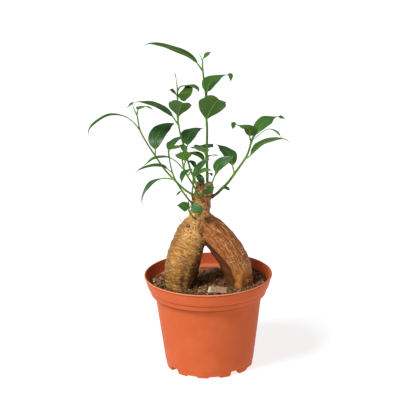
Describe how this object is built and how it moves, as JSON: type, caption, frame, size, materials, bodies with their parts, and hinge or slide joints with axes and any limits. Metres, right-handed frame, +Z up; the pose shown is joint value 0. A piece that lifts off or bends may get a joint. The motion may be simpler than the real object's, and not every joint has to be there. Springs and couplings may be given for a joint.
{
  "type": "potted ginseng ficus",
  "caption": "Small ginseng ficus with a swollen, forked trunk standing on arched root legs, leafy shoots from its cut top, and a thin round nursery pot full of soil.",
  "frame": {"origin": "middle of the whole plant's box from above, on the surface that the pot stands on", "axes": "+Z up from the surface to the top of the tallest shoot, -Y to the front as pictured, +X to the viewer's right"},
  "size_m": [0.1656, 0.108, 0.2816],
  "materials": {
    "pot": "satin",
    "soil": "crumbly, matte",
    "husk": "matte",
    "trunk": "satin bark",
    "shoot": "waxy satin"
  },
  "bodies": {
    "root": {"pot": "pot", "soil": "soil", "husk": "husk", "trunk": "trunk", "shoot_tall": "shoot", "shoot_upper_left": "shoot", "shoot_inner_left": "shoot", "shoot_far_left": "shoot", "shoot_front_left": "shoot", "shoot_center": "shoot", "shoot_center_right": "shoot", "shoot_right": "shoot", "shoot_low": "shoot"}
  },
  "joints": []
}
